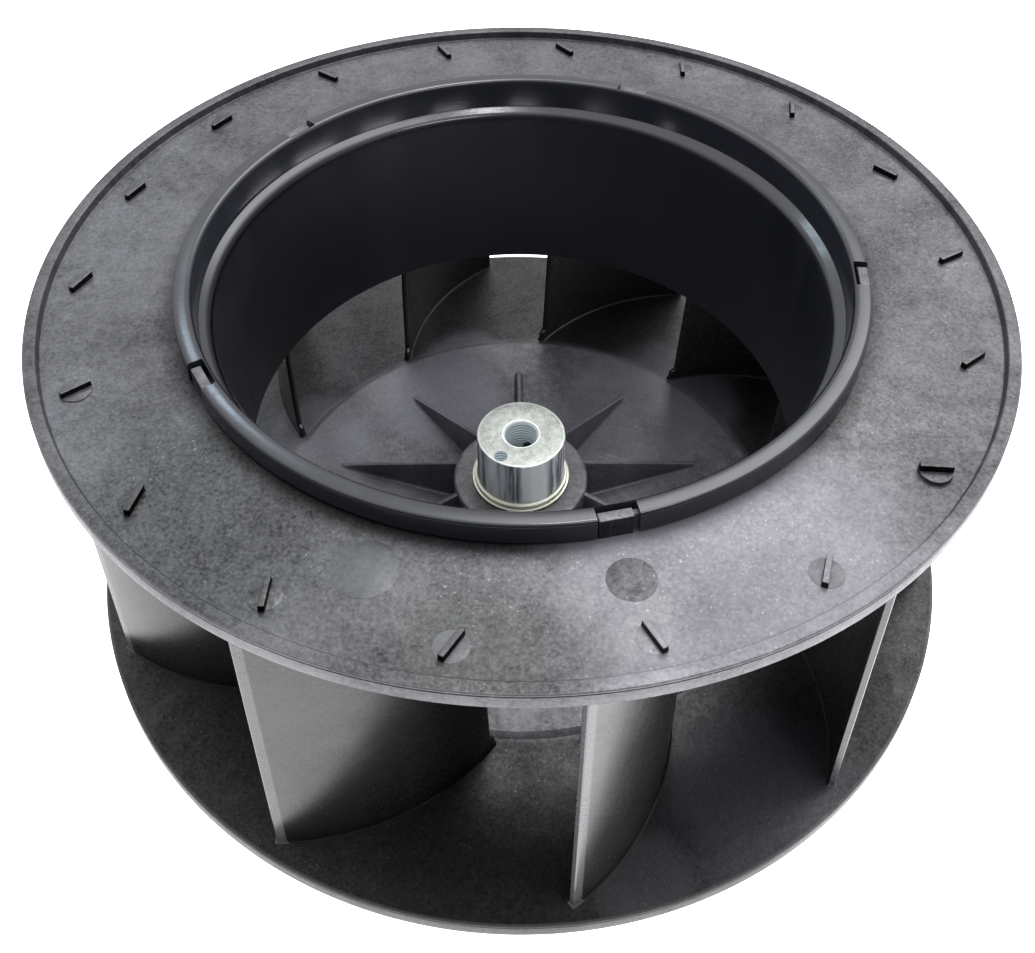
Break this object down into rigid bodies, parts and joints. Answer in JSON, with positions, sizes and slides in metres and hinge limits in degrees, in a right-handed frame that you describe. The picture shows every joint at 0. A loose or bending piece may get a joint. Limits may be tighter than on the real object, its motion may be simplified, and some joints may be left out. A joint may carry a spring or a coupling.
{
  "type": "blower motor wheel",
  "caption": "Backward-curved plastic blower wheel: flat shroud with a raised lip and inlet ring, curved blades, a back plate with a finned boss, and a plated steel hub with a set screw.",
  "frame": {"origin": "on the wheel's axis, in the plane of the back plate rim's lower edge, where the wheel rests on a bench", "axes": "+Z along the axis towards the air inlet; X and Y in the plane of the back plate, -Y towards the viewer of the usual front view"},
  "size_m": [0.33, 0.33, 0.1427],
  "materials": {
    "shroud_plastic": "mottled glass-filled black plastic",
    "inlet_ring_plastic": "glossy black plastic",
    "back_plate_plastic": "mottled glass-filled black plastic",
    "blade_plastic": "semi-gloss black plastic",
    "hub_zinc": "zinc-plated turned steel",
    "retaining_ring_steel": "spring steel",
    "set_screw_steel": "black oxide"
  },
  "bodies": {
    "wheel": {"shroud": "shroud_plastic", "inlet_ring": "inlet_ring_plastic", "back_plate": "back_plate_plastic", "blade_01": "blade_plastic", "blade_02": "blade_plastic", "blade_03": "blade_plastic", "blade_04": "blade_plastic", "blade_05": "blade_plastic", "blade_06": "blade_plastic", "blade_07": "blade_plastic", "blade_08": "blade_plastic", "blade_09": "blade_plastic", "blade_10": "blade_plastic", "hub": "hub_zinc", "hub_washer": "hub_zinc", "hub_retaining_ring": "retaining_ring_steel"},
    "set_screw": {"set_screw": "set_screw_steel"}
  },
  "joints": [
    {"name": "set_screw_travel", "type": "slide", "parent": "wheel", "child": "set_screw", "axis": [0.5736, 0.8192, 0], "range_m": [-0.0018, 0.006]}
  ]
}
